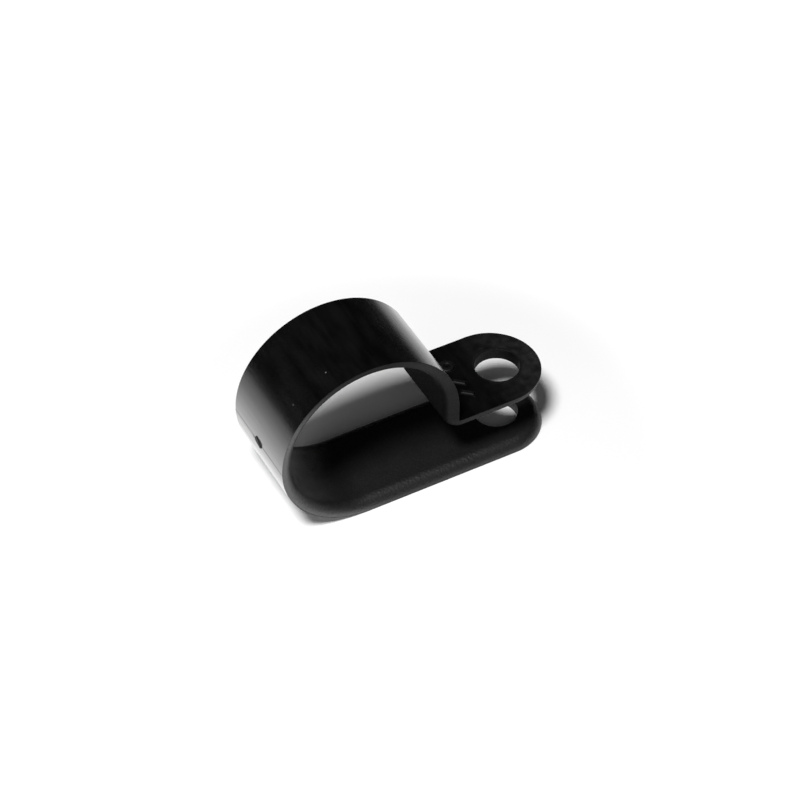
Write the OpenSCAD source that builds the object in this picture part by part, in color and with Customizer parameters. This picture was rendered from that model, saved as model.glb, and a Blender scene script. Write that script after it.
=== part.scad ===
// P-clip: a moulded nylon cable clamp made as one strap. A round loop holds the
// cable, a flat base and a shorter tab above it take one fixing screw.
// Millimetres. The fixing hole stands on Z, the base lies on z = 0, the cable
// runs along Y and the loop is on the -X side.

/* [Strap] */
// Width of the strap, along the cable
strap_width = 9.5; // [9:0.1:11]
// Thickness of the wall
wall = 1.2; // [1.15:0.05:1.4]
// Radius of the long edges that face the cable
edge_round = 1.1; // [0.5:0.05:1.1]

/* [Cable loop] */
// Inside diameter of the loop
loop_bore = 15.6; // [14:0.1:18]
// Clear length of tab between the leg and the rim of the fixing hole
leg_to_hole = 4.6; // [3.8:0.1:6]

/* [Fixing end] */
// Diameter of the fixing hole
hole_bore = 4.3; // [3.6:0.1:4.5]
// Height of the opening between base and tab
tab_gap = 4.8; // [4.2:0.1:6]
// From the hole's axis to the tip of the tab
tab_reach = 4.05; // [3.8:0.05:4.5]
// From the hole's axis to the tip of the base
base_reach = 4.4; // [4.2:0.05:5]
// Outside radius of the bend from the leg into the tab
bend_radius = 1.7; // [1.5:0.1:2]
// Fillet in the corner between the leg and the top of the tab
corner_fillet = 0.2; // [0.1:0.05:0.25]

/* [Moulding marks] */
// Length of the gate stub
gate_length = 1.2; // [0.9:0.1:1.8]
// Height of the gate stub
gate_height = 0.5; // [0.4:0.05:0.7]
// Slant of the gate stub from the parting line, in degrees
gate_slant = 40; // [0:5:60]
// How far the gate stub stands out
gate_proud = 0.1; // [0.05:0.05:0.2]
// How far the parting line stands out
seam_proud = 0.04; // [0.02:0.01:0.06]
// How far the marks on the tab stand out
mark_proud = 0.14; // [0.08:0.02:0.2]
// Outside diameter of the ring mark
ring_diameter = 1.4; // [1.2:0.1:1.6]
// Length of the two bar marks
bar_length = 1.2; // [0.8:0.1:1.4]
// Slant of the bar marks from the length of the tab, in degrees
bar_slant = -42; // [-60:1:0]

/* [Hidden] */
loop_outer = loop_bore / 2 + wall;
hole_radius = hole_bore / 2;
leg_face = -hole_radius - leg_to_hole;      // outer face of the leg
loop_x = leg_face - loop_outer;             // centre of the loop
tab_under = wall + tab_gap;                 // underside of the tab
tab_top = tab_under + wall;                 // top of the tab
bend_x = leg_face - wall + bend_radius;     // centre of the bend
bend_z = tab_under + bend_radius;
tab_end_x = tab_reach - strap_width / 2;    // centre of the tab's round end
base_end_x = base_reach - strap_width / 2;  // centre of the base's round end
mark_width = 0.4;
sink = 0.3;                                 // how deep raised marks root in the wall
eps = 0.5;                                  // clearance of cutting tools

$fa = 4;
$fs = 0.2;

// Cross-section of the strap: x across its width, y from the outer face (0)
// to the inner face (wall), whose two corners are rounded.
module strap_section() {
    translate([-strap_width / 2, 0])
        square([strap_width, wall - edge_round]);
    translate([-strap_width / 2 + edge_round, 0])
        square([strap_width - 2 * edge_round, wall]);
    intersection() {
        translate([-strap_width / 2, 0])
            square([strap_width, wall]);
        for (side = [-1, 1])
            translate([side * (strap_width / 2 - edge_round), wall - edge_round])
                circle(r = edge_round);
    }
}

// The half of the section that turns into a round end
module half_section() {
    intersection() {
        strap_section();
        square([strap_width, wall]);
    }
}

// A flat run of strap along X, inner face up, ending in a half-round tip
module flat_run(from, to) {
    translate([from, 0, 0])
        rotate([90, 0, 90])
            linear_extrude(height = to - from)
                strap_section();
    translate([to, 0, 0])
        rotate([0, 0, -90])
            rotate_extrude(angle = 180)
                half_section();
}

// Base under the loop and under the tab
module base_run() {
    flat_run(loop_x, base_end_x);
}

// Tab above the base, inner face down
module tab_run() {
    translate([0, 0, tab_top])
        mirror([0, 0, 1])
            flat_run(bend_x, tab_end_x);
}

// Three quarters of a ring, from the base round to the top of the leg
module loop_run() {
    translate([loop_x, 0, loop_outer])
        rotate([90, 0, 0])
            rotate_extrude(angle = 270)
                translate([loop_outer, 0])
                    rotate([0, 0, 90])
                        strap_section();
}

// Straight leg between the loop and the bend
module leg_run() {
    translate([leg_face, 0, bend_z])
        linear_extrude(height = loop_outer - bend_z)
            rotate([0, 0, 90])
                strap_section();
}

// Section of the bend, from its centre line out to its rounded outside
module bend_section() {
    translate([0, -strap_width / 2])
        square([bend_radius - wall, strap_width]);
    translate([bend_radius - wall, 0])
        rotate([0, 0, -90])
            strap_section();
}

// Side view of the space above the tab that cuts the inside corner of the bend
module corner_space() {
    reach = bend_radius;
    translate([corner_fillet, 0])
        square([reach, reach]);
    translate([0, corner_fillet])
        square([reach, reach]);
    translate([corner_fillet, corner_fillet])
        circle(r = corner_fillet);
}

// Quarter bend from the leg into the tab
module bend_run() {
    difference() {
        translate([bend_x, 0, bend_z])
            rotate([90, 0, 0])
                rotate([0, 0, 180])
                    rotate_extrude(angle = 90)
                        bend_section();
        translate([leg_face, strap_width / 2 + eps, tab_top])
            rotate([90, 0, 0])
                linear_extrude(height = strap_width + 2 * eps)
                    corner_space();
    }
}

// Hole for the fixing screw, through tab and base
module fixing_hole() {
    translate([0, 0, -eps])
        cylinder(r = hole_radius, h = tab_top + 2 * eps);
}

// Broken-off gate on the outside of the loop, at mid width
module gate_stub() {
    half = (gate_length - gate_height) / 2;
    translate([loop_x - loop_outer - gate_proud, 0, loop_outer])
        rotate([gate_slant, 0, 0])
            rotate([0, 90, 0])
                linear_extrude(height = gate_proud + sink) {
                    for (side = [-1, 1])
                        translate([0, side * half])
                            circle(r = gate_height / 2);
                    square([gate_height, 2 * half], center = true);
                }
}

// Fine ridge where the two halves of the mould meet
module parting_line() {
    translate([loop_x - loop_outer, strap_width / 2, loop_outer])
        rotate([90, 0, 0])
            linear_extrude(height = strap_width)
                polygon([[-seam_proud, 0], [sink, sink], [sink, -sink]]);
}

// Plain raised marks on the tab beside the leg: a ring and two slanting bars
module tab_marks() {
    mark_x = leg_face + 1.8 + ring_diameter / 2;
    translate([0, 0, tab_top - sink])
        linear_extrude(height = sink + mark_proud) {
            translate([mark_x, 2.1])
                difference() {
                    circle(d = ring_diameter);
                    circle(d = ring_diameter - 2 * mark_width);
                }
            for (y = [-0.3, -1.9])
                translate([mark_x, y])
                    rotate([0, 0, bar_slant])
                        square([bar_length, mark_width], center = true);
        }
}

module clip() {
    color([0.02, 0.02, 0.022])
        difference() {
            union() {
                base_run();
                loop_run();
                leg_run();
                bend_run();
                tab_run();
                gate_stub();
                parting_line();
                tab_marks();
            }
            fixing_hole();
        }
}

clip();
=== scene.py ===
import math

import bpy
import numpy as np
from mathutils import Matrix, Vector


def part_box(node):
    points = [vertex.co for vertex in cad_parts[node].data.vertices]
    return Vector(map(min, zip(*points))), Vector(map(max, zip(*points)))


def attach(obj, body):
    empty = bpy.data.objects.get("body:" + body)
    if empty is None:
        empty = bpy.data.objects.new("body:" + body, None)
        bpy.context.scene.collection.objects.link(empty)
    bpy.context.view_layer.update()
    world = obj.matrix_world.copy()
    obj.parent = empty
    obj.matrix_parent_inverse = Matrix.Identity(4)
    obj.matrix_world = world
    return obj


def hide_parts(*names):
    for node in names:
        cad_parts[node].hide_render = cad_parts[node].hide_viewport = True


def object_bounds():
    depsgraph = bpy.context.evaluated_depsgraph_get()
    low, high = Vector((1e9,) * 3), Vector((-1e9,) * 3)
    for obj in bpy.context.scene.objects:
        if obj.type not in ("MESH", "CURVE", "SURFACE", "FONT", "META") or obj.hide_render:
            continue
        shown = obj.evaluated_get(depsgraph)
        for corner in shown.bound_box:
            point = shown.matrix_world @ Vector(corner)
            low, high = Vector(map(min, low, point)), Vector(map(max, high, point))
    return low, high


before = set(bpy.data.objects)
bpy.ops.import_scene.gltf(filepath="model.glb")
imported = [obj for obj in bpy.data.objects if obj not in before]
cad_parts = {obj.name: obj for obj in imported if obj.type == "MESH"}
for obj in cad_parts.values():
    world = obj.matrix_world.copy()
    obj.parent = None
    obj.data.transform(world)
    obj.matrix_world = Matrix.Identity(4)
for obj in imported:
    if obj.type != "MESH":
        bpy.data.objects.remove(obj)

cad_lo, cad_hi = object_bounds()

# ----------------------------------------------------------------------------
# Sizes in millimetres. The outer ones are read from the CAD box, the rest
# repeat the named values of part.scad.
# ----------------------------------------------------------------------------
MM = 0.001
LO, HI = (np.array(corner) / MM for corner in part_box("clip"))
WIDTH = HI[1] - LO[1]          # strap width, along the cable
LOOP_R = (HI[2] - LO[2]) / 2   # outside radius of the loop
BASE_REACH = HI[0]             # hole axis to the tip of the base
WALL = 1.2
EDGE = 1.1                     # radius of the long edges that face the cable
BREAK = 0.02                   # the small break of the strap's sharp edges
HOLE_BREAK = 0.04              # the same, at the rims of the holes
HOLE_R = 2.15
TAB_GAP = 4.8
TAB_REACH = 4.05
BEND_R = 1.7                   # outside radius of the bend
FILLET = 0.2                   # corner between leg and tab
FILLET_DEPTH = 0.35            # the corner's shape fades out this far below it
GATE = (1.2, 0.5, 0.1)         # gate stub: length, height, proud
GATE_SLANT = math.radians(40)  # slant of the gate stub from the parting line
SCAR = (1.65, 1.0, math.radians(-19))   # its matt scar: length, height, slant
SEAM = (0.02, 0.12, 0.04)      # parting line: half width, width of its flanks, proud
MARK_PROUD = 0.14
MARK_WIDTH = 0.4
MARK_FROM_LEG = 1.8            # clear length between leg and ring
MARK_FOOT = 0.08               # how far the marks' own material reaches past them
RING_D = 1.4
RING_Y = 2.1
BAR_LENGTH = 1.2
BAR_YS = (-0.3, -1.9)
BAR_SLANT = math.radians(-42)  # from the length of the tab
SOFT = 0.1                     # width of the rounded flanks of marks, stub and scar

# Points that the mesh spends on the rounded shapes
TIP_POINTS = 57                # once round a free end
RIM_POINTS = 4                 # across a broken edge
EDGE_POINTS = 15               # across a long edge that faces the cable
HOLE_ROWS = 5                  # down the wall of a hole
RINGS = 8                      # from a hole's rim to the outline of its block

LOOP_X = LO[0] + GATE[2] + LOOP_R
LEG_X = LOOP_X + LOOP_R        # outer face of the leg
TAB_UNDER = WALL + TAB_GAP
TAB_TOP = TAB_UNDER + WALL
BEND_X = LEG_X - WALL + BEND_R
BEND_Z = TAB_UNDER + BEND_R
MARK_X = LEG_X + MARK_FROM_LEG + RING_D / 2
HALF = WIDTH / 2

# Lengths along the unrolled strap (base, loop, leg, bend, tab), from the axis of
# the hole in the base
U_LOOP = -LOOP_X
U_LEG = U_LOOP + LOOP_R * 1.5 * math.pi
U_BEND = U_LEG + LOOP_R - BEND_Z
BEND_RUN = BEND_R * math.pi / 2
U_TAB = U_BEND + BEND_RUN
U_HOLE = (0.0, U_TAB - BEND_X)  # axis of the hole in base and tab
U_TIP = (HALF - BASE_REACH, U_HOLE[1] + TAB_REACH - HALF)  # centres of the round ends
U_SEAM = U_LOOP + LOOP_R * 0.5 * math.pi
U_MARK = U_HOLE[1] + MARK_X
U_END = U_TIP[1] + HALF        # the far end of the strap

BLOCK = 3.2                    # from a hole's axis to where the faces round it begin
U_CUT = (U_HOLE[0] + BLOCK, U_HOLE[1] - BLOCK)


def place(u, y, h):
    """Position of a point of the unrolled strap: u along it, y across it,
    h above its flat face."""
    u, y, h = np.broadcast_arrays(*(np.asarray(v, float) for v in (u, y, h)))
    x, z = -u, h.copy()
    loop = u > U_LOOP
    a = 1.5 * np.pi - (u - U_LOOP) / LOOP_R
    x = np.where(loop, LOOP_X + (LOOP_R - h) * np.cos(a), x)
    z = np.where(loop, LOOP_R + (LOOP_R - h) * np.sin(a), z)
    leg = u > U_LEG
    x = np.where(leg, LEG_X - h, x)
    z = np.where(leg, LOOP_R - (u - U_LEG), z)
    # The bend is an arc at the inner face. At the flat face it is a square
    # corner with a fillet: corner says how far that is from the arc.
    bend = u > U_BEND
    p = np.clip((u - U_BEND) / BEND_RUN, 0, 1) * np.pi / 2
    q = np.minimum(p, np.pi / 2 - p)
    inside = BEND_R - WALL
    flat = inside / np.cos(q)
    side = inside - FILLET
    b = side * (np.cos(q) + np.sin(q))
    arc = b + np.sqrt(np.maximum(b * b - 2 * side * side + FILLET * FILLET, 0))
    corner = np.where(np.tan(q) * inside < side, flat, arc) - inside
    r = inside + h + corner * np.clip(1 - h / FILLET_DEPTH, 0, 1) ** 2
    x = np.where(bend, BEND_X - r * np.cos(p), x)
    z = np.where(bend, BEND_Z - r * np.sin(p), z)
    tab = u > U_TAB
    x = np.where(tab, BEND_X + u - U_TAB, x)
    z = np.where(tab, TAB_TOP - h, z)
    return np.stack([x, y, z], -1)


def ramp(edge, distance, soft):
    """1 where distance is below edge and 0 above it, by a smooth step that is
    soft wide."""
    t = np.clip((edge - distance) / soft + 0.5, 0, 1)
    return t * t * (3 - 2 * t)


def turned(first, second, slant):
    """Two coordinates in a frame that is turned by slant."""
    return (first * np.cos(slant) + second * np.sin(slant),
            second * np.cos(slant) - first * np.sin(slant))


def marks(u, y, grow=0.0):
    """1 on the ring and the bars of the tab, 0 beside them."""
    du = u - U_MARK
    ring = np.abs(np.hypot(du, y - RING_Y) - (RING_D - MARK_WIDTH) / 2)
    top = ramp(MARK_WIDTH / 2 + grow, ring, SOFT)
    for bar_y in BAR_YS:
        along, aside = turned(du, y - bar_y, BAR_SLANT)
        bar = np.maximum(np.abs(along) - BAR_LENGTH / 2, np.abs(aside) - MARK_WIDTH / 2)
        top = np.maximum(top, ramp(grow, bar, SOFT))
    return top


def scar(u, y):
    """1 on the matt patch that the gate left round its stub, 0 beside it."""
    length, height, slant = SCAR
    along, aside = turned(y, u - U_SEAM, slant)
    return ramp(0.5, np.hypot(along / length, aside / height), SOFT)


def gate(u, y):
    """1 on the broken-off gate stub, 0 beside it."""
    length, height, _ = GATE
    along, aside = turned(y, u - U_SEAM, GATE_SLANT)
    reach = np.maximum(np.abs(along) - (length - height) / 2, 0)
    return ramp(height / 2, np.hypot(aside, reach), SOFT)


def proud(u, y):
    """How far the flat face stands out at a point: the marks on the tab, the
    gate stub and the parting line."""
    du = u - U_SEAM
    # the stub's top is torn: 0.72 to 1 of its height
    torn = 0.86 + 0.07 * np.sin(23 * y + 11 * du) + 0.07 * np.sin(17 * y - 31 * du + 1.3)
    stub = GATE[2] * torn * gate(u, y)
    width, flank, height = SEAM
    seam = height * ramp(width, np.abs(du), flank)
    return np.maximum(MARK_PROUD * marks(u, y), np.maximum(stub, seam))


def steps(*spans):
    """Sorted stations that cover (from, to, step) spans; a finer span wins
    over a coarser one that it overlaps."""
    spans = sorted(spans, key=lambda s: -s[2])
    points = np.array([])
    for start, stop, step in spans:
        points = points[(points < start - step / 2) | (points > stop + step / 2)]
        count = max(1, round((stop - start) / step))
        points = np.union1d(points, np.linspace(start, stop, count + 1))
    keep = np.concatenate([[True], np.diff(points) > 1e-6])
    return points[keep]


POLISHED, ERODED, RAISED = 0, 1, 2     # looks, in the order of the materials


class Skin:
    """Vertices of the strap, given in its unrolled frame, and the faces."""

    def __init__(self):
        self.u, self.n, self.grain, self.count, self.faces = [], [], [], 0, []

    def add(self, u, y, h, n, grain):
        """Adds vertices of any array shape; n is the outward normal in the
        unrolled frame, and grain the look: 0 polished, 1 eroded, 2 raised.
        Returns the vertices' numbers in the same shape."""
        u, y, h, grain, *n = np.broadcast_arrays(u, y, h, grain, *n)
        self.u.append(np.stack([u, y, h], -1).reshape(-1, 3).astype(float))
        self.n.append(np.stack(n, -1).reshape(-1, 3).astype(float))
        self.grain.append(grain.reshape(-1).astype(float))
        first = self.count
        self.count += u.size
        return np.arange(first, self.count).reshape(u.shape)

    def quads(self, grid, close=False):
        """Faces between the rows and columns of a grid of vertex numbers; a
        closed grid also has them between its last row and its first."""
        if close:
            grid = np.concatenate([grid, grid[:1]])
        corners = [grid[:-1, :-1], grid[1:, :-1], grid[1:, 1:], grid[:-1, 1:]]
        self.faces.append(np.stack(corners, -1).reshape(-1, 4))

    def normals(self, u, n):
        """Normals of the placed strap for the unrolled normals n."""
        tiny = 1e-4
        across = []
        for axis in range(3):
            shift = np.zeros(3)
            shift[axis] = tiny
            across.append((place(*(u + shift).T) - place(*(u - shift).T)) / (2 * tiny))
        pu, py, ph = across
        normal = (n[:, :1] * np.cross(py, ph) + n[:, 1:2] * np.cross(ph, pu)
                  + n[:, 2:] * np.cross(pu, py))
        handed = np.sign((np.cross(pu, py) * ph).sum(1, keepdims=True))
        return normal * handed / np.linalg.norm(normal, axis=1, keepdims=True)

    def mesh(self, name):
        u, n, grain, faces = (np.concatenate(v) for v in (self.u, self.n, self.grain, self.faces))
        at = place(*u.T)
        normal = self.normals(u, n)

        # turn each face so that it looks the way of its vertices' normals
        corner = at[faces]
        facing = np.cross(corner[:, 2] - corner[:, 0], corner[:, 3] - corner[:, 1])
        back = (facing * normal[faces].sum(1)).sum(1) < 0
        faces[back] = faces[back][:, ::-1]

        mesh = bpy.data.meshes.new(name)
        mesh.from_pydata((at * MM).tolist(), [], faces.tolist())
        mesh.polygons.foreach_set("use_smooth", [True] * len(mesh.polygons))
        mesh.normals_split_custom_set_from_vertices(normal.tolist())
        strap = mesh.attributes.new("strap", "FLOAT_VECTOR", "POINT")
        strap.data.foreach_set("vector", u.astype(np.float32).ravel())
        look = np.digitize(grain[faces].mean(1), (0.4, 1.4))
        mesh.polygons.foreach_set("material_index", look.astype(np.int32))
        mesh.update()
        return mesh


def flat_rim(radius, count=RIM_POINTS):
    """Rounding between the flat face and a side, from the face to the side:
    (distance in from the outline, height, outward normal)."""
    return [(radius * (1 - np.sin(t)), radius * (1 - np.cos(t)), -np.sin(t), -np.cos(t))
            for t in np.linspace(0, np.pi / 2, count)]


def inner_rim(radius, count=RIM_POINTS):
    """The same between a side and the inner face, from the side to the face."""
    return [(radius * (1 - np.cos(t)), WALL - radius * (1 - np.sin(t)), -np.cos(t), np.sin(t))
            for t in np.linspace(0, np.pi / 2, count)]


def free_end(block):
    """Outline of a free end of the unrolled strap beyond its cut, as (u, y,
    inward normal): the tab's (block 1) from +y round to -y, the base's
    (block 0) from -y round to +y."""
    way = 1 if block else -1
    straight = steps((0, abs(U_TIP[block] - U_CUT[block]), 0.3))[1:-1]
    top = [(U_CUT[block] + way * s, way * HALF, 0, -way) for s in straight]
    tip = [(U_TIP[block] + way * HALF * np.sin(a), way * HALF * np.cos(a),
            -way * np.sin(a), -way * np.cos(a)) for a in np.linspace(0, np.pi, TIP_POINTS)]
    low = [(u, -y, nu, -ny) for u, y, nu, ny in reversed(top)]
    return top + tip + low


def hole_block(skin, block, end, strips):
    """Walls of the hole in the base (block 0) or the tab (block 1), and both
    faces between its rims and the outline of the block round it."""
    row, way = (-1, 1) if block else (0, -1)
    # round the free end, then back across the strip
    loops = [np.concatenate([end[:, k], strip[row][::way]])
             for k, strip in zip((0, -1), strips)]
    points = np.concatenate(skin.u)
    centre = np.array([U_HOLE[block], 0])
    first = points[loops[0]][:, :2] - centre
    angle = np.arctan2(first[:, 1], first[:, 0])
    ca, sa = np.cos(angle)[:, None], np.sin(angle)[:, None]

    rows = np.linspace(HOLE_BREAK, WALL - HOLE_BREAK, HOLE_ROWS)[1:-1]
    profile = flat_rim(HOLE_BREAK) + [(0, h, -1, 0) for h in rows] + inner_rim(HOLE_BREAK)
    gap, level, inward, rise = np.array(profile).T
    radius = HOLE_R + gap
    wall = skin.add(centre[0] + radius * ca, radius * sa, level,
                    (inward * ca, inward * sa, rise), ERODED)
    skin.quads(wall, close=True)

    rim = centre + (HOLE_R + HOLE_BREAK) * np.concatenate([ca, sa], 1)
    t = np.linspace(0, 1, RINGS)[1:-1] ** 1.3      # rings lie closer near the rim
    for loop, k, h, n, grain in ((loops[0], 0, 0.0, -1.0, POLISHED),
                                 (loops[1], -1, WALL, 1.0, ERODED)):
        outer = points[loop][:, :2]
        between = rim[:, None] + (outer - rim)[:, None] * t[None, :, None]
        rings = skin.add(between[..., 0], between[..., 1], h, (0.0, 0.0, n), grain)
        skin.quads(np.concatenate([wall[:, [k]], rings, loop[:, None]], 1), close=True)


def clip_mesh():
    """The whole clip as one closed skin of quads."""
    skin = Skin()
    flat = HALF - BREAK            # half width of the flat face
    us = steps((U_CUT[0], U_LOOP, 0.6), (U_LOOP, U_LEG, 0.4), (U_LEG, U_BEND, 0.3),
               (U_BEND, U_TAB, BEND_RUN / 18), (U_TAB, U_CUT[1], 0.2),
               (U_SEAM - 0.6, U_SEAM + 0.6, 0.035), (U_MARK - 0.8, U_MARK + 0.8, 0.045))
    ys = steps((-flat, flat, 0.4), (-0.75, 0.75, 0.06),
               (BAR_YS[1] - 0.65, BAR_YS[0] + 0.65, 0.05), (RING_Y - 0.8, RING_Y + 0.8, 0.05))

    # The band of sides and rims, once round the unrolled strap
    inset, height, out, up = np.array(flat_rim(BREAK) + inner_rim(EDGE, EDGE_POINTS)).T
    tab_end, base_end = free_end(1), free_end(0)
    outline = np.array([(u, HALF, 0, -1) for u in us] + tab_end
                       + [(u, -HALF, 0, 1) for u in us[::-1]] + base_end)
    u, y, nu, ny = (v[:, None] for v in outline.T)
    u, y = u + nu * inset, y + ny * inset
    # what stands out of the flat face runs out at its rim
    lift = proud(u, y) * np.clip(1 - height / (2 * BREAK), 0, 1) * (out > -0.5)
    band = skin.add(u, y, height - lift, (out * nu, out * ny, up), height > 0)
    skin.quads(band, close=True)
    high_side, tab_band, low_side, base_band = np.split(
        band, np.cumsum([len(us), len(tab_end), len(us)]))

    # The flat face, with what stands out of it, and the inner face, both
    # between the two cuts
    tiny = 1e-3
    u, y = np.meshgrid(us, ys[1:-1], indexing="ij")
    slope_u = (proud(u + tiny, y) - proud(u - tiny, y)) / (2 * tiny)
    slope_y = (proud(u, y + tiny) - proud(u, y - tiny)) / (2 * tiny)
    raised = np.maximum(marks(u, y, MARK_FOOT), scar(u, y)) > 0.5
    flat_face = skin.add(u, y, -proud(u, y), (-slope_u, -slope_y, -1.0), RAISED * raised)
    inner_face = skin.add(u, y * (HALF - EDGE) / flat, WALL, (0.0, 0.0, 1.0), ERODED)
    strips = [np.concatenate([low_side[::-1][:, [k]], face, high_side[:, [k]]], 1)
              for k, face in ((0, flat_face), (-1, inner_face))]
    for strip in strips:
        skin.quads(strip)

    hole_block(skin, 0, base_band, strips)
    hole_block(skin, 1, tab_band, strips)
    return skin.mesh("clip_strap")


# ----------------------------------------------------------------------------
# Materials
# ----------------------------------------------------------------------------
BLUISH = 1.03                  # blue of the nylon's greys, to their red and green
BLACK = (0.0008, 0.0008, 0.0008, 1)
NOISE = (0.35, 0.65)           # where most values of a noise lie
NOISE_WIDE = (0.3, 0.7)        # where nearly all of them lie


class Shader:
    """Node tree of a material or world: short ways to make and join nodes."""

    def __init__(self, owner):
        owner.use_nodes = True
        self.owner = owner
        self.nodes, self.links = owner.node_tree.nodes, owner.node_tree.links
        self.nodes.clear()

    def node(self, kind, **values):
        """A node; a keyword sets a property, or an input where it names one."""
        made = self.nodes.new("ShaderNode" + kind)
        for key, value in values.items():
            if hasattr(made, key):
                setattr(made, key, value)
            else:
                made.inputs[key.replace("_", " ")].default_value = value
        return made

    def link(self, value, socket):
        """Joins an output to a socket, or sets the socket to a number, which
        stands for a grey where the socket takes a colour."""
        if not isinstance(value, (int, float)):
            self.links.new(value, socket)
        elif socket.type == "RGBA":
            socket.default_value = (value, value, value * BLUISH, 1)
        else:
            socket.default_value = value

    def math(self, operation, first, second):
        made = self.node("Math", operation=operation)
        self.link(first, made.inputs[0])
        self.link(second, made.inputs[1])
        return made.outputs[0]

    def span(self, value, low, high, start=0.0, stop=1.0, smooth=False):
        """start where value is low, stop where it is high."""
        made = self.node("MapRange", From_Min=low, From_Max=high, To_Min=start, To_Max=stop,
                         interpolation_type="SMOOTHSTEP" if smooth else "LINEAR")
        self.link(value, made.inputs["Value"])
        return made.outputs[0]

    def window(self, value, *edges):
        """Rises from 0 to 1 between the first two edges, falls between the last."""
        rise = self.span(value, edges[0], edges[1], smooth=True)
        return self.math("MINIMUM", rise, self.span(value, edges[3], edges[2], smooth=True))

    def distance(self, vector, point):
        """Length between a vector and a fixed point."""
        made = self.node("VectorMath", operation="DISTANCE")
        made.inputs[1].default_value = point
        self.link(vector, made.inputs[0])
        return made.outputs["Value"]

    def scaled(self, vector, scale):
        made = self.node("Mapping", Scale=scale)
        self.link(vector, made.inputs["Vector"])
        return made.outputs[0]

    def mixed(self, kind, factor, first, second):
        made = self.node("Mix", data_type=kind)
        sockets = {socket.name: socket for socket in made.inputs if socket.enabled}
        for name, value in (("Factor", factor), ("A", first), ("B", second)):
            self.link(value, sockets[name])
        return next(socket for socket in made.outputs if socket.enabled)

    def blend(self, factor, first, second):
        """The number first where factor is 0, second where it is 1."""
        return self.mixed("FLOAT", factor, first, second)

    def colour(self, factor, first, second):
        """The colour first where factor is 0, second where it is 1."""
        return self.mixed("RGBA", factor, first, second)

    def bump(self, height, micrometres, normal=None):
        made = self.node("Bump", Strength=1.0, Distance=micrometres * 1e-6)
        self.link(height, made.inputs["Height"])
        if normal:
            self.link(normal, made.inputs["Normal"])
        return made.outputs[0]

    def plastic(self, ior, tone, rough, normal):
        made = self.node("BsdfPrincipled", IOR=ior)
        for name, value in (("Base Color", tone), ("Roughness", rough), ("Normal", normal)):
            self.link(value, made.inputs[name])
        return made.outputs[0]

    # a black surface that the materials mix in as painted shade, and to dull the gate scar
    def dark(self):
        return self.node("BsdfDiffuse", Color=BLACK).outputs[0]

    def mix(self, factor, first, second):
        """The surface first where factor is 0, second where it is 1."""
        made = self.node("MixShader")
        for socket, value in zip(made.inputs, (factor, first, second)):
            self.link(value, socket)
        return made.outputs[0]

    def finish(self, surface, output="OutputMaterial"):
        self.link(surface, self.node(output).inputs["Surface"])
        return self.owner


class Look(Shader):
    """Material of the strap, which follows the unrolled strap in millimetres:
    u along it, y across it, h above its flat face."""

    def __init__(self, name):
        super().__init__(bpy.data.materials.new(name))
        self.strap = self.node("Attribute", attribute_name="strap").outputs["Vector"]
        parts = self.node("SeparateXYZ")
        self.link(self.strap, parts.inputs[0])
        self.u, self.y, self.h = parts.outputs

    def noise(self, scale, detail=3.0, stretch=(1, 1, 1)):
        """Noise on the unrolled strap, in features per millimetre."""
        made = self.node("TexNoise", Scale=scale, Detail=detail)
        self.link(self.scaled(self.strap, stretch), made.inputs["Vector"])
        return made.outputs["Fac"]

    def along(self, stops):
        """A value that follows the strap: straight lines between (u, value)."""
        made = self.node("ValToRGB")
        elements = made.color_ramp.elements
        last = stops[-1][0]
        while len(elements) < len(stops):
            elements.new(1.0)
        for element, (u, value) in zip(elements, stops):
            element.position = u / last
            element.color = (value, value, value, 1)
        self.link(self.math("DIVIDE", self.u, last), made.inputs["Fac"])
        return made.outputs["Color"]


def loop_u(angle):
    """Length along the strap at an angle of the loop: 270 at the base, 180
    at the gate, 90 at the top, 0 at the leg."""
    return U_LOOP + LOOP_R * math.radians(270 - angle)


SPECKS = ((112, -2.6, 0.09), (138, -2.7, 0.07))   # light grey specks: angle on the loop, y, radius
SPECK_GREY = 0.13                                       # its grey


def polished_nylon():
    """Outside of the strap: glossy, with faint streaks across the strap, fine
    lines beside the parting line, painted light that makes the tab lighter and
    blotched towards its end, painted shade on the tab by the leg, and a few light
    grey specks."""
    look = Look("nylon_polished")
    flow = look.noise(0.9, detail=2.0, stretch=(2.4, 0.10, 1))
    cloud = look.noise(0.6, detail=4.0, stretch=(1, 0.35, 1))
    blotch = look.noise(1.2)
    # painted light: from 3 mm past the bend to its end the tab's top is lighter and blotched
    tip = look.span(look.u, U_TAB + 3, U_END, smooth=True)
    tone = look.colour(tip, look.colour(look.span(cloud, 0.38, 0.66), 0.0002, 0.0036),
                       look.colour(look.span(blotch, *NOISE), 0.007, 0.019))
    for angle, y, size in SPECKS:
        away = look.distance(look.strap, (loop_u(angle), y, 0))
        tone = look.colour(look.span(away, size, size / 2, smooth=True), tone, SPECK_GREY)
    wave = look.blend(look.span(look.u, U_LEG, U_TAB), flow, blotch)
    lines = look.noise(3.2, detail=1.0, stretch=(1, 0.02, 1))
    beside_seam = look.window(look.u, loop_u(173), loop_u(168), loop_u(161), loop_u(157))
    normal = look.bump(look.math("MULTIPLY", lines, beside_seam), 2.5, look.bump(wave, 2.0))
    surface = look.plastic(ior=1.70, tone=tone, normal=normal,
                           rough=look.span(wave, *NOISE_WIDE, 0.21, 0.28))
    # painted shade: a black surface mixed in, up to 0.6, on the tab next to the leg
    painted_shade_by_leg = look.window(look.u, U_BEND, U_TAB, U_TAB + 0.3, U_TAB + 3.5)
    return look.finish(look.mix(look.math("MULTIPLY", painted_shade_by_leg, 0.6), surface, look.dark()))
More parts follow.
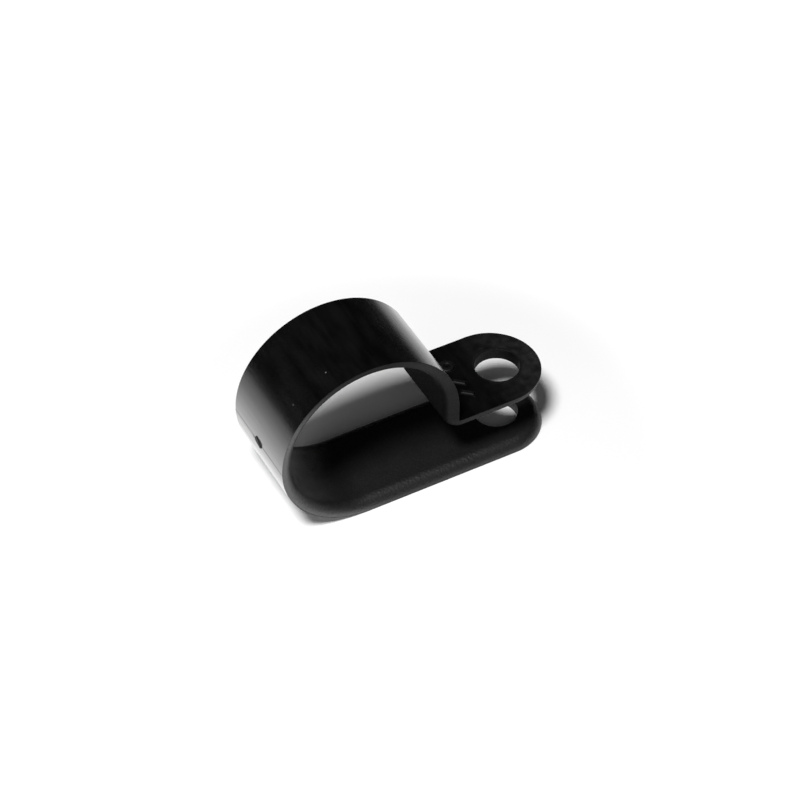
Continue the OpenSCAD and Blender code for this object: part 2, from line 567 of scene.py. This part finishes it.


# How much of the eroded faces' smooth surface (sheen) and of painted shade
# (a black surface mixed in) there is, as (u, value) along the strap: on the side
# of the wall, and on the inner face.
SHEEN_SIDE = ((0, 0.75), (U_LOOP, 0.75), (loop_u(230), 0.85), (loop_u(195), 1.0),
              (loop_u(160), 1.0), (loop_u(120), 0.1), (loop_u(90), 0.0), (U_TAB + 3, 0.0),
              (U_END, 0.5))
SHEEN_INNER = ((0, 0.35), (U_LOOP, 0.3), (loop_u(237), 0.2), (loop_u(215), 0.3),
               (loop_u(190), 0.5), (loop_u(175), 0.3), (loop_u(160), 0.1), (loop_u(90), 0.0),
               (U_END, 0.0))
PAINTED_SHADE_SIDE = ((0, 0.0), (loop_u(148), 0.0), (loop_u(125), 0.45), (loop_u(100), 0.65),
             (loop_u(75), 0.65), (loop_u(50), 0.45), (loop_u(15), 0.62), (U_BEND, 0.65),
             (U_TAB + 2, 0.4), (U_END, 0.2))
PAINTED_SHADE_INNER = ((0, 0.0), (loop_u(120), 0.0), (loop_u(45), 0.35), (loop_u(15), 0.82),
              (U_BEND, 0.85), (U_TAB + 2, 0.45), (U_END, 0.45))


def eroded_nylon():
    """Inside and sides of the strap: finely grained, smoother round the lower
    left of the loop, and darker by painted shade from the roof of the loop to the
    tab, at the far edge of the base, at the foot of its sides near the floor and
    in and round the tab's hole."""
    look = Look("nylon_eroded")
    normal = look.bump(look.noise(5.0), 60)
    tone = look.colour(look.span(look.noise(4.0), *NOISE), 0.0, 0.0045)
    rough = look.span(look.noise(0.6), *NOISE_WIDE, 0.56, 0.64)
    matt = look.plastic(ior=1.50, tone=tone, rough=rough, normal=normal)
    smooth = look.plastic(ior=1.58, tone=0.001, rough=0.38, normal=normal)
    inner = look.span(look.h, 0.25, 0.75, smooth=True)
    sheen = look.blend(inner, look.along(SHEEN_SIDE), look.along(SHEEN_INNER))
    surface = look.mix(sheen, matt, smooth)

    # painted shade: a black surface mixed in from the roof of the loop to the tab, over the far
    # edge of the base, at the foot of the sides near the floor and in and round the tab's hole
    inner = look.span(look.h, 0.85, 1.15, smooth=True)
    dull_and_painted_shade = look.blend(inner, look.along(PAINTED_SHADE_SIDE), look.along(PAINTED_SHADE_INNER))
    far = look.math("MULTIPLY", look.span(look.y, 3.4, 4.0, 0.0, 0.85),
                    look.span(look.u, loop_u(218), loop_u(235)))
    foot = look.math("MULTIPLY", look.span(look.h, 0.12, 0.03, 0.0, 0.7),
                     look.span(look.u, loop_u(205), loop_u(215)))
    from_axis = look.distance(look.scaled(look.strap, (1, 1, 0)), (U_HOLE[1], 0, 0))
    hole = look.span(from_axis, HOLE_R + 0.1, HOLE_R + 0.05, 0.0, 0.56)
    for patch in (far, foot, hole):
        dull_and_painted_shade = look.math("MAXIMUM", dull_and_painted_shade, patch)
    return look.finish(look.mix(dull_and_painted_shade, surface, look.dark()))


def raised_nylon():
    """Gate scar and marks: torn or matt on top, and the marks with painted shade
    at their foot all round."""
    look = Look("nylon_raised")
    fine = look.noise(6.0)
    top = look.plastic(ior=1.50, tone=0.004, normal=look.bump(fine, 12),
                       rough=look.span(fine, *NOISE_WIDE, 0.45, 0.60))
    # painted shade: on the marks more black is mixed in towards their foot; the scar is only
    # dulled by half all over
    foot = look.span(look.h, -0.10, -0.01, 0.45, 0.97)
    dull_and_painted_shade = look.blend(look.span(look.u, U_LEG, U_BEND), 0.50, foot)
    return look.finish(look.mix(dull_and_painted_shade, top, look.dark()))


def floor_material():
    """White sweep: its own colour under the lamps, so that it keeps the
    clip's shadow. For the camera it is lifted to white away from the clip. In
    reflections a painted pool of light lifts it on the lamp's side, left of the
    clip, and by half all round outside the clip's shadow. Lengths are in metres here."""
    look = Shader(bpy.data.materials.new("sweep_paper"))
    where = look.node("TexCoord").outputs["Object"]
    parts = look.node("SeparateXYZ")
    look.link(where, parts.inputs[0])
    far = look.distance(where, (0, 0, 0))
    away = look.span(far, 0.022, 0.050, smooth=True)
    left = look.span(parts.outputs["X"], -0.002, -0.008, smooth=True)
    round_clip = look.math("MULTIPLY", look.span(far, 0.013, 0.022, smooth=True), 0.5)
    near = look.span(far, 0.065, 0.022, smooth=True)
    # painted light: a glow on the floor that only reflections see, strongest left of the clip
    bright = look.math("MULTIPLY", look.math("MAXIMUM", left, round_clip), near)
    total = look.node("BsdfPrincipled", Base_Color=(0.93, 0.93, 0.93, 1), Roughness=0.9,
                      Specular_IOR_Level=0.0).outputs[0]
    rays = look.node("LightPath").outputs
    for ray, lift in (("Is Camera Ray", away), ("Is Glossy Ray", bright)):
        glow = look.node("Emission")
        look.link(look.math("MULTIPLY", rays[ray], lift), glow.inputs["Strength"])
        both = look.node("AddShader")
        look.link(total, both.inputs[0])
        look.link(glow.outputs[0], both.inputs[1])
        total = both.outputs[0]
    return look.finish(total)


# ----------------------------------------------------------------------------
# The clip
# ----------------------------------------------------------------------------
scene = bpy.context.scene
clip = bpy.data.objects.new("clip_strap", clip_mesh())
scene.collection.objects.link(clip)
for made in (polished_nylon(), eroded_nylon(), raised_nylon()):
    clip.data.materials.append(made)
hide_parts("clip")
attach(clip, "root")

# ----------------------------------------------------------------------------
# Floor, light and camera
# ----------------------------------------------------------------------------
PAPER_R = 0.14                 # radius of the round sheet of paper, in metres
PAPER_GAP = 0.00002            # how far it lies below the clip
sweep = bpy.data.meshes.new("sweep")
rim = [(PAPER_R * math.cos(a), PAPER_R * math.sin(a), 0)
       for a in np.linspace(0, 2 * math.pi, 96, endpoint=False)]
sweep.from_pydata(rim, [], [tuple(range(len(rim)))])
floor = bpy.data.objects.new("sweep", sweep)
floor.location = ((cad_lo.x + cad_hi.x) / 2, 0, cad_lo.z - PAPER_GAP)
scene.collection.objects.link(floor)
floor.data.materials.append(floor_material())

middle = (cad_lo + cad_hi) / 2


def direction(azimuth, elevation):
    """Unit vector towards a viewer or lamp; azimuth 0 is the -Y side."""
    a, e = math.radians(azimuth), math.radians(elevation)
    return Vector((math.sin(a) * math.cos(e), -math.cos(a) * math.cos(e), math.sin(e)))


def look_from(item, target, azimuth, elevation, distance):
    """Puts a lamp or camera in the scene so that it looks at target."""
    back = direction(azimuth, elevation)
    item.location = target + back * distance
    item.rotation_euler = back.to_track_quat("Z", "Y").to_euler()
    scene.collection.objects.link(item)


def softbox(name, azimuth, elevation, distance, size, power):
    """A round lamp that lights the middle of the clip."""
    data = bpy.data.lights.new(name, "AREA")
    data.shape = "DISK"
    data.size = size
    data.energy = power
    look_from(bpy.data.objects.new(name, data), middle, azimuth, elevation, distance)


softbox("key", azimuth=-51.9, elevation=62.8, distance=0.60, size=0.1325, power=4.11)
softbox("low_fill", azimuth=-68, elevation=11, distance=0.40, size=0.20, power=0.33)
softbox("front_fill", azimuth=-15, elevation=30, distance=0.40, size=0.25, power=0.095)

# The room is white for the camera, dim for the floor and dimmer in gloss
WHITE = (1, 1, 1, 1)
sky = Shader(bpy.data.worlds.new("studio"))
rays = sky.node("LightPath").outputs
room = sky.node("Background", Color=WHITE)
sky.link(sky.span(rays["Is Glossy Ray"], 0.0, 1.0, 0.034, 0.018), room.inputs["Strength"])
white = sky.node("Background", Color=WHITE, Strength=1.0)
surface = sky.mix(rays["Is Camera Ray"], room.outputs[0], white.outputs[0])
scene.world = sky.finish(surface, output="OutputWorld")

scene.view_settings.view_transform = "Standard"

# The camera is fitted to the photograph
lens = bpy.data.cameras.new("camera")
lens.sensor_width = 36.0
lens.lens = 107.59
lens.clip_start = 0.01
lens.clip_end = 10.0
camera = bpy.data.objects.new("camera", lens)
look_from(camera, middle + Vector((-0.460, -0.632, -0.778)) * MM,
          azimuth=-28.483, elevation=44.903, distance=0.21905)
scene.camera = camera
